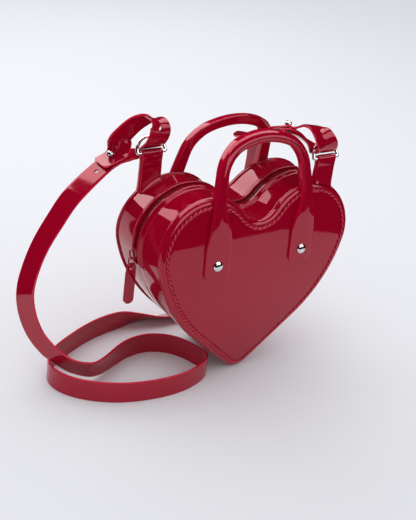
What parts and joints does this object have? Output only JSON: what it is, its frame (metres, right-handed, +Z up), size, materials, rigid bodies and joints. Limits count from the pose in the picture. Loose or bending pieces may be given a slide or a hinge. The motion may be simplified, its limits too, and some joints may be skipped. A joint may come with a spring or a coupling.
{
  "type": "heart shaped purse",
  "caption": "Heart shaped hard purse in glossy moulded plastic, with zip, arched handles and a flat shoulder strap on ring tabs.",
  "frame": {"origin": "centre of the small flat under the heart's tip, where the purse rests, half way between the two panels", "axes": "+X to the right across the heart seen from the front, -Y out of the front panel, +Z up"},
  "size_m": [0.2863, 0.1149, 0.2351],
  "materials": {
    "glossy_shell": "glossy moulded, deep red",
    "glossy_strap": "glossy flat band, deep red",
    "thread": "thick waxed thread, deep red",
    "zip_cloth": "woven tape, dark red",
    "zip_plastic": "satin, dark red",
    "zip_metal": "painted deep red",
    "chrome": "polished"
  },
  "bodies": {
    "purse": {"front_panel": "glossy_shell", "back_panel": "glossy_shell", "front_gusset": "glossy_shell", "back_gusset": "glossy_shell", "front_stitching": "thread", "back_stitching": "thread", "zip_tape_front": "zip_cloth", "zip_tape_back": "zip_cloth", "zip_teeth_front": "zip_plastic", "zip_teeth_back": "zip_plastic", "zip_bottom_stop": "zip_metal", "zip_top_stop": "zip_metal", "front_handle": "glossy_shell", "back_handle": "glossy_shell", "front_rivets": "chrome", "back_rivets": "chrome", "front_rivet_washers": "chrome", "back_rivet_washers": "chrome", "left_side_tab": "glossy_shell", "right_side_tab": "glossy_shell", "shoulder_strap": "glossy_strap", "left_strap_stud": "chrome", "right_strap_stud": "chrome"},
    "slider": {"slider_body": "zip_metal"},
    "puller_ring": {"pull_ring": "chrome"},
    "puller": {"pull_tab": "glossy_shell"},
    "left_d_ring": {"left_ring": "chrome"},
    "right_d_ring": {"right_ring": "chrome"}
  },
  "joints": [
    {"name": "slider_travel", "type": "hinge", "parent": "purse", "child": "slider", "pos_m": [-0.053, 0, 0.12965], "axis": [0, 1, 0], "range_deg": [0, 141]},
    {"name": "pull_ring_swing", "type": "hinge", "parent": "slider", "child": "puller_ring", "pos_m": [-0.10292, 0, 0.11828], "axis": [0, 1, 0], "range_deg": [-3, 70]},
    {"name": "pull_tab_swing", "type": "hinge", "parent": "puller_ring", "child": "puller", "pos_m": [-0.10292, 0, 0.10848], "axis": [0, 1, 0], "range_deg": [-15, 45]},
    {"name": "left_ring_tilt", "type": "hinge", "parent": "purse", "child": "left_d_ring", "pos_m": [-0.076, 0.0276, 0.19715], "axis": [1, 0, 0], "range_deg": [-8, 8]},
    {"name": "right_ring_tilt", "type": "hinge", "parent": "purse", "child": "right_d_ring", "pos_m": [0.0665, -0.0276, 0.19715], "axis": [1, 0, 0], "range_deg": [-8, 8]}
  ]
}
